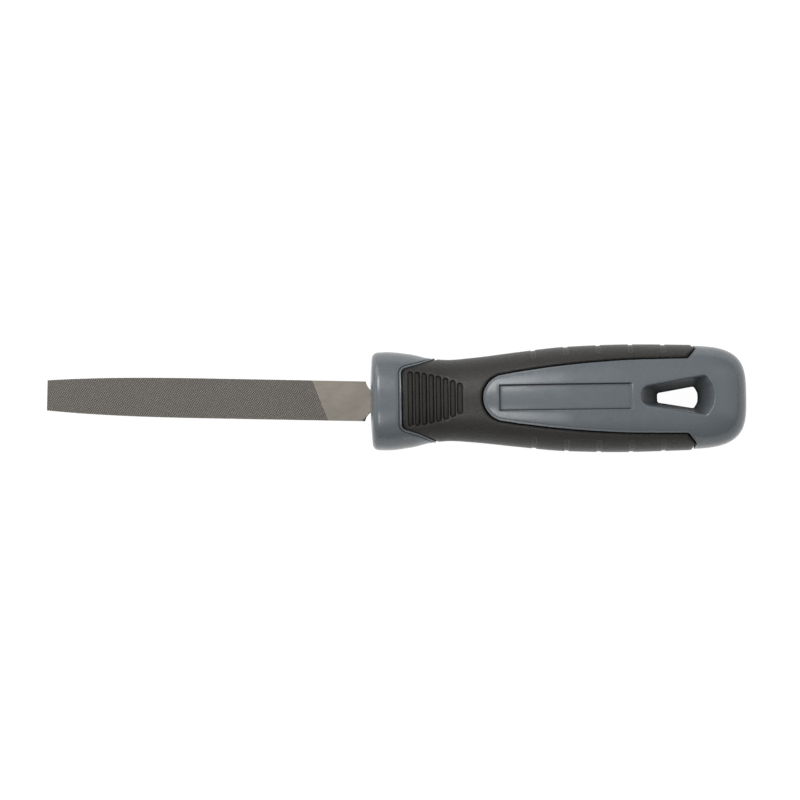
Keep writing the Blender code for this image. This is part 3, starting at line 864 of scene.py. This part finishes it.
def blade_outline():
    """The closed outline from above: saw-toothed edges, hollow shoulders and the tang."""
    cut_end = -CUT_END - BLADE_WIDTH / 2 / math.tan(UPCUT_ANGLE)
    starts = np.arange(BLADE_TIP, cut_end, EDGE_TOOTH_PITCH)
    roots = starts + EDGE_TOOTH_PITCH * EDGE_TOOTH_ROOT
    crests = np.column_stack([starts, blade_half_width(starts)])
    valleys = np.column_stack([roots, blade_half_width(roots) - EDGE_TOOTH_DEPTH])
    teeth = np.stack([crests, valleys], axis=1).reshape(-1, 2)

    heel_side = BLADE_WIDTH / 2 - HEEL_INSET
    heel = [(starts[-1] + EDGE_TOOTH_PITCH, heel_side)]
    tang_tip = [(TANG_REACH - TANG_POINT, TANG_TIP_WIDTH / 2), (TANG_REACH, TANG_TIP_WIDTH / 4)]
    sides = []
    turns = np.radians(np.linspace(0, 90, 10))
    for start, run, power in SHOULDERS:
        shoulder = np.column_stack([
            run * (1 - np.cos(turns) ** power) - start,
            heel_side - SHOULDER_DROP * np.sin(turns) ** power,
        ])
        sides.append(np.vstack([teeth, heel, shoulder, tang_tip]))
    return np.vstack([sides[0], sides[1][::-1] * (1, -1)])


def cut_rows(plan):
    """How many upcut and overcut rows each point lies from where the teeth end."""
    run = plan - (-CUT_END, 0.0)
    return run @ CUT_AXES[0] / UPCUT_PITCH, run @ CUT_AXES[1] / OVERCUT_PITCH


def tooth_height(plan):
    """Height of the cut face: each cell between two upcuts and two overcuts is a low pyramid."""
    upcut, overcut = cut_rows(plan)
    a, b = upcut % 1, overcut % 1
    crest = 0.5 + TOOTH_RAKE
    share = np.minimum.reduce([a / crest, (1 - a) / (1 - crest), 2 * b, 2 - 2 * b])
    off_line = np.minimum(np.abs(upcut - np.round(upcut)), np.abs(overcut - np.round(overcut)))
    share = np.where(off_line < TOLERANCE, 0, np.clip(share, 0, 1))
    return np.where(upcut > -TOLERANCE, TOOTH_DEPTH * (share - 1), 0.0), share


def tooth_lattice():
    """Crossings and crests of the cuts near the blade, with the edges that join them."""
    back = np.linalg.inv(CUT_AXES)
    rows = int((BLADE_LENGTH + BLADE_WIDTH) / UPCUT_PITCH)
    columns = int((BLADE_LENGTH + BLADE_WIDTH) / OVERCUT_PITCH)
    a, b = np.meshgrid(np.arange(rows), np.arange(-columns, BLADE_WIDTH / OVERCUT_PITCH))
    cells = np.column_stack([a.ravel(), b.ravel()])

    def place(a, b):
        return np.column_stack([a * UPCUT_PITCH, b * OVERCUT_PITCH]) @ back.T + (-CUT_END, 0.0)

    crossings = place(*cells.T)
    crests = place(cells[:, 0] + 0.5 + TOOTH_RAKE, cells[:, 1] + 0.5)
    near = (np.abs(crests[:, 1]) < LATTICE_REACH) & (crests[:, 0] > BLADE_TIP - 1)
    index = {}
    points = []

    def vertex(key, point):
        if key not in index:
            index[key] = len(points)
            points.append(point)
        return index[key]

    where = {tuple(cell): point for cell, point in zip(cells.astype(int), crossings)}
    edges = set()
    for (i, j), crest in zip(cells[near].astype(int), crests[near]):
        corners = [(i, j), (i + 1, j), (i + 1, j + 1), (i, j + 1)]
        if not all(corner in where for corner in corners):
            continue
        middle = vertex(("crest", i, j), crest)
        ring = [vertex(corner, where[corner]) for corner in corners]
        for k in range(4):
            edges.add((ring[k], middle))
            edges.add(tuple(sorted((ring[k], ring[k - 1]))))
    return np.array(points), list(edges)


def blade_face():
    """The outline of the blade, and the points and triangles of its upper face from above."""
    outline = blade_outline()
    lattice, lattice_edges = tooth_lattice()
    middle = -CUT_END + HEEL_GAP / math.sin(UPCUT_ANGLE)
    sides = (-LATTICE_REACH, LATTICE_REACH)
    heel_line = [(middle + side / math.tan(UPCUT_ANGLE), -side) for side in sides]
    points = np.vstack([outline, heel_line, lattice])
    count = len(outline)
    edges = [(i, (i + 1) % count) for i in range(count)] + [(count, count + 1)]
    edges += [(a + count + 2, b + count + 2) for a, b in lattice_edges]
    result = delaunay_2d_cdt([Vector(p) for p in points], edges, [], 0, MERGE_DISTANCE)
    plan = np.array([tuple(point) for point in result[0]])
    faces = np.array(result[2])
    faces = faces[inside(plan[faces].mean(axis=1), outline)]
    return outline, *used_only(plan, faces)


def along_outline(plan, outline):
    """How far round the outline each point lies, in outline points."""
    run = np.roll(outline, -1, axis=0) - outline
    place = np.zeros(len(plan))
    for i, point in enumerate(plan):
        share = np.clip(((point - outline) * run).sum(1) / (run**2).sum(1), 0, 1)
        gap = ((point - outline - share[:, None] * run) ** 2).sum(1)
        nearest = int(np.argmin(gap))
        place[i] = nearest + share[nearest]
    return place


def zipped(upper, lower):
    """Triangles between two closed rows of (place, vertex) sorted by place."""
    faces = []
    i = j = 0
    m, n = len(upper), len(lower)
    while i < m or j < n:
        next_upper = upper[i + 1][0] if i + 1 < m else np.inf
        next_lower = lower[j + 1][0] if j + 1 < n else np.inf
        a, b = upper[i % m][1], lower[j % n][1]
        if i < m and (next_upper <= next_lower or j >= n):
            faces.append((a, b, upper[(i + 1) % m][1]))
            i += 1
        else:
            faces.append((a, b, lower[(j + 1) % n][1]))
            j += 1
    return faces


def mark_teeth(mesh):
    """Attributes of the steel: how near each point is to a tooth's crest, and where it is cut."""
    points = np.array([tuple(vert.co) for vert in mesh.vertices]) / MM
    plan = points[:, :2] * np.column_stack([np.ones(len(points)), np.sign(points[:, 2])])
    height, share = tooth_height(plan)
    rows, _ = cut_rows(plan)
    for name, values in (("crest", share), ("cut", (rows > -TOLERANCE).astype(float))):
        mesh.attributes.new(name, "FLOAT", "POINT").data.foreach_set("value", values)


def make_blade():
    outline, plan, faces = blade_face()
    height, _ = tooth_height(plan)
    upper = np.column_stack([plan, blade_half_thickness(plan[:, 0]) + height])
    lower = upper * (1, -1, -1)
    count = len(plan)

    edges = border_edges(faces)
    border = np.unique(edges)
    place = along_outline(plan[border], outline)
    mirrored_place = (len(outline) - 1 - place) % len(outline)
    upper_row = sorted(zip(place, border))
    lower_row = sorted(zip(mirrored_place, border + count))
    all_faces = [tuple(f) for f in faces] + [tuple(f + count) for f in faces]
    all_faces += zipped(upper_row, lower_row)
    chunk = (np.vstack([upper, lower]), all_faces, np.zeros(2 * count))
    mesh = mesh_from("file_steel", [chunk], mirrored=False)
    for face in mesh.polygons:
        face.use_smooth = abs(face.normal.z) > WALL_LIMIT
    mark_teeth(mesh)
    return mesh


# Materials


def add_node(tree, kind, inputs=None, **settings):
    """A new node with its settings, and its inputs set to values or linked to sockets."""
    made = tree.nodes.new(kind)
    for name, value in settings.items():
        setattr(made, name, value)
    for socket, value in (inputs or {}).items():
        if isinstance(value, bpy.types.NodeSocket):
            tree.links.new(value, made.inputs[socket])
        else:
            made.inputs[socket].default_value = value
    return made


def noise(tree, scale, detail=2.0, stretch=(1, 1, 1)):
    place = add_node(tree, "ShaderNodeTexCoord")
    settings = {"Vector": place.outputs["Object"], "Scale": stretch}
    mapping = add_node(tree, "ShaderNodeMapping", settings)
    settings = {"Vector": mapping.outputs["Vector"], "Scale": scale, "Detail": detail}
    return add_node(tree, "ShaderNodeTexNoise", settings).outputs["Fac"]


def spread(tree, value, low, high, from_low=0.3, from_high=0.7):
    """A value taken from one range onto another."""
    settings = {
        "Value": value, "From Min": from_low, "From Max": from_high, "To Min": low, "To Max": high,
    }
    return add_node(tree, "ShaderNodeMapRange", settings).outputs["Result"]


def mixed(tree, factor, first, second):
    """A colour between two colours, given as values or sockets."""
    inputs = {"Factor": factor}
    for place, colour in ((6, first), (7, second)):
        inputs[place] = (*colour, 1) if isinstance(colour, tuple) else colour
    return add_node(tree, "ShaderNodeMix", inputs, data_type="RGBA").outputs[2]


def bump(tree, height, strength, distance):
    settings = {"Height": height, "Strength": strength, "Distance": distance}
    return add_node(tree, "ShaderNodeBump", settings).outputs["Normal"]


def attribute(tree, name):
    """A value stored in the points of the mesh."""
    return add_node(tree, "ShaderNodeAttribute", attribute_name=name).outputs["Fac"]


def shader(name):
    material = bpy.data.materials.new(name)
    material.use_nodes = True
    return material, material.node_tree, material.node_tree.nodes["Principled BSDF"]


def feed(tree, surface, **sockets):
    """Link values to the shader's inputs, named with underscores for spaces."""
    for name, value in sockets.items():
        tree.links.new(value, surface.inputs[name.replace("_", " ").title()])


def toned(tree, tone, plain, dark, light):
    """A colour that goes to the painted shade or to the paler colour where the mesh's painted tone
    says so.
    """
    lighter = mixed(tree, spread(tree, tone, 0, 1, 0, 1), plain, light)
    return mixed(tree, spread(tree, tone, 0, 1, 0, -1), lighter, dark)


def plastic_material():
    """Satin blue-grey moulded plastic: faint clouding, a fine spark-eroded grain, and painted
    shade in its seams, recess and hole.
    """
    material, tree, surface = shader("satin_plastic")
    tone = attribute(tree, "tone")
    clouds = spread(tree, noise(tree, PLASTIC_CLOUD_SCALE, 3), 0, 1)
    plain = mixed(tree, clouds, PLASTIC_DARK, PLASTIC_LIGHT)
    # painted shade where the tone is below 0
    colour = toned(tree, tone, plain, PLASTIC_PAINTED_SHADE, PLASTIC_LIGHT)
    polish = spread(tree, noise(tree, PLASTIC_POLISH_SCALE), *PLASTIC_ROUGHNESS)
    roughness = spread(tree, tone, PLASTIC_GROOVE_ROUGHNESS, polish, -1, 0)
    grain = bump(tree, noise(tree, GRAIN_SCALE), *PLASTIC_GRAIN)
    # the painted shade also dulls the gloss
    gloss = spread(tree, tone, PLASTIC_GROOVE_GLOSS, PLASTIC_GLOSS, -1, 0)
    feed(tree, surface, base_color=colour, roughness=roughness, normal=grain)
    tree.links.new(gloss, surface.inputs["Specular IOR Level"])
    return material


def rubber_material():
    """Matte black soft moulding with a fine grain, painted shade in its grooves and along its
    seams, a painted highlight on the thumb grooves' rims, and paler strap notches.
    """
    material, tree, surface = shader("soft_rubber")
    tone = attribute(tree, "tone")
    speckle = spread(tree, noise(tree, GRAIN_SCALE), 0, 1, 0.4, 0.7)
    plain = mixed(tree, speckle, RUBBER_DARK, RUBBER_LIGHT)
    # painted shade where the tone is below 0, painted highlight and paler notches above it
    colour = toned(tree, tone, plain, RUBBER_PAINTED_SHADE, RUBBER_PALE_AND_HIGHLIGHT)
    roughness = spread(tree, noise(tree, RUBBER_POLISH_SCALE), *RUBBER_ROUGHNESS)
    grain = bump(tree, noise(tree, GRAIN_SCALE, 3), *RUBBER_GRAIN)
    patchy = spread(tree, noise(tree, RUBBER_PATCH_SCALE), *RUBBER_GLOSS, 0.35, 0.65)
    # the painted shade also dulls the gloss
    gloss = spread(tree, tone, RUBBER_GROOVE_GLOSS, patchy, -1, 0)
    feed(tree, surface, base_color=colour, roughness=roughness, normal=grain)
    tree.links.new(gloss, surface.inputs["Specular IOR Level"])
    return material


def steel_material():
    """Dull file steel: a lightly ground heel, and teeth with painted shade in their valleys and
    paler crests, partly a painted highlight and partly bright worn tips.
    """
    material, tree, surface = shader("file_steel")
    cut, crest = attribute(tree, "cut"), attribute(tree, "crest")
    scratches = noise(tree, SCRATCH_SCALE, 3, SCRATCH_STRETCH)
    clouds = spread(tree, noise(tree, STEEL_CLOUD_SCALE, 3), 0, 1)
    ground = mixed(tree, clouds, STEEL_DARK, STEEL_LIGHT)
    # painted shade in the valleys, paler crests: partly a painted highlight, partly bright worn
    # tips
    tooth = mixed(tree, spread(tree, crest, 0, 1, CREST_START, 1), TOOTH_VALLEY_SHADE, TOOTH_CREST_WEAR_AND_HIGHLIGHT)
    colour = mixed(tree, cut, ground, tooth)
    ground_roughness = spread(tree, scratches, *STEEL_ROUGHNESS)
    roughness = spread(tree, cut, ground_roughness, TOOTH_ROUGHNESS, 0, 1)
    metallic = spread(tree, cut, STEEL_METALLIC, TOOTH_METALLIC, 0, 1)
    grain = bump(tree, scratches, *STEEL_GRAIN)
    feed(tree, surface, base_color=colour, roughness=roughness, metallic=metallic, normal=grain)
    return material


# Stage, light and camera


def make_floor():
    """A white floor that stays white to the camera and still takes the object's shadow."""
    bm = bmesh.new()
    bmesh.ops.create_grid(bm, x_segments=1, y_segments=1, size=FLOOR_SIZE / 2)
    mesh = bpy.data.meshes.new("floor")
    bm.to_mesh(mesh)
    bm.free()
    floor = bpy.data.objects.new("floor", mesh)
    bpy.context.scene.collection.objects.link(floor)

    material, tree, surface = shader("white_floor")
    surface.inputs["Base Color"].default_value = (*[FLOOR_COLOUR] * 3, 1)
    surface.inputs["Roughness"].default_value = FLOOR_ROUGHNESS
    seen = add_node(tree, "ShaderNodeBsdfDiffuse", {"Color": (*[FLOOR_SHADE] * 3, 1)})
    lit = add_node(tree, "ShaderNodeEmission", {"Color": (1, 1, 1, 1), "Strength": FLOOR_GLOW})
    both = add_node(tree, "ShaderNodeAddShader", {0: seen.outputs[0], 1: lit.outputs[0]})
    shaders = {0: direct_ray(tree), 1: surface.outputs[0], 2: both.outputs[0]}
    choice = add_node(tree, "ShaderNodeMixShader", shaders)
    tree.links.new(choice.outputs[0], tree.nodes["Material Output"].inputs["Surface"])
    mesh.materials.append(material)


def direct_ray(tree):
    """1 for camera, glossy and transmission rays, which see the background itself."""
    path = add_node(tree, "ShaderNodeLightPath")
    total = path.outputs["Is Camera Ray"]
    for name in ("Is Glossy Ray", "Is Transmission Ray"):
        values = {0: total, 1: path.outputs[name]}
        total = add_node(tree, "ShaderNodeMath", values, operation="MAXIMUM").outputs[0]
    return total


def make_world():
    world = bpy.data.worlds.new("studio")
    world.use_nodes = True
    background = world.node_tree.nodes["Background"]
    background.inputs["Color"].default_value = (1, 1, 1, 1)
    background.inputs["Strength"].default_value = WORLD_LEVEL
    bpy.context.scene.world = world


def make_lamp(name, along, across, size, level):
    """A soft box aimed at the middle of the object, which lights a level face to its level."""
    light = bpy.data.lights.new(name, "AREA")
    light.shape = "RECTANGLE"
    light.size, light.size_y = size
    turn = Matrix.Rotation(math.radians(-across), 4, "X")
    turn = turn @ Matrix.Rotation(math.radians(along), 4, "Y")
    downward = turn[2][2]
    light.energy = level * math.pi**2 * LAMP_DISTANCE**2 / downward
    lamp = bpy.data.objects.new(name, light)
    lamp.matrix_world = turn @ Matrix.Translation((0, 0, LAMP_DISTANCE))
    bpy.context.scene.collection.objects.link(lamp)


def make_camera():
    """A long lens almost straight above, as the photograph was taken."""
    lens = bpy.data.cameras.new("camera")
    lens.sensor_width = SENSOR_WIDTH
    lens.lens = SENSOR_WIDTH * CAMERA_DISTANCE / VIEW_WIDTH
    lens.clip_end = CLIP_END
    camera = bpy.data.objects.new("camera", lens)
    target = handle_place() + Vector(CAMERA_TARGET) * MM
    tilt = Matrix.Rotation(CAMERA_TILT, 4, "X")
    camera.matrix_world = (
        Matrix.Translation(target)
        @ tilt
        @ Matrix.Translation((0, 0, CAMERA_DISTANCE * MM))
        @ Matrix.Rotation(CAMERA_ROLL, 4, "Z")
    )
    bpy.context.scene.collection.objects.link(camera)
    bpy.context.scene.camera = camera


# The pieces


def handle_place():
    """The centre of the handle's front face in the frame."""
    low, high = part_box("handle_core")
    return Vector((low[0], (low[1] + high[1]) / 2, (low[2] + high[2]) / 2))


def add_piece(mesh, node, material, yaw=0.0):
    piece = bpy.data.objects.new(mesh.name, mesh)
    bpy.context.scene.collection.objects.link(piece)
    piece.location = handle_place()
    piece.rotation_euler.z = yaw
    mesh.materials.append(material)
    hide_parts(node)
    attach(piece, "root")


bpy.context.scene.view_settings.view_transform = "Standard"
front_line = front_seam()
rear_line = panel_seam()
add_piece(make_core(front_line, rear_line), "handle_core", plastic_material())
add_piece(make_grip(front_line, rear_line), "soft_grip", rubber_material())
add_piece(make_blade(), "file_blade", steel_material(), BLADE_YAW)
make_floor()
make_world()
for lamp_settings in LAMPS:
    make_lamp(*lamp_settings)
make_camera()
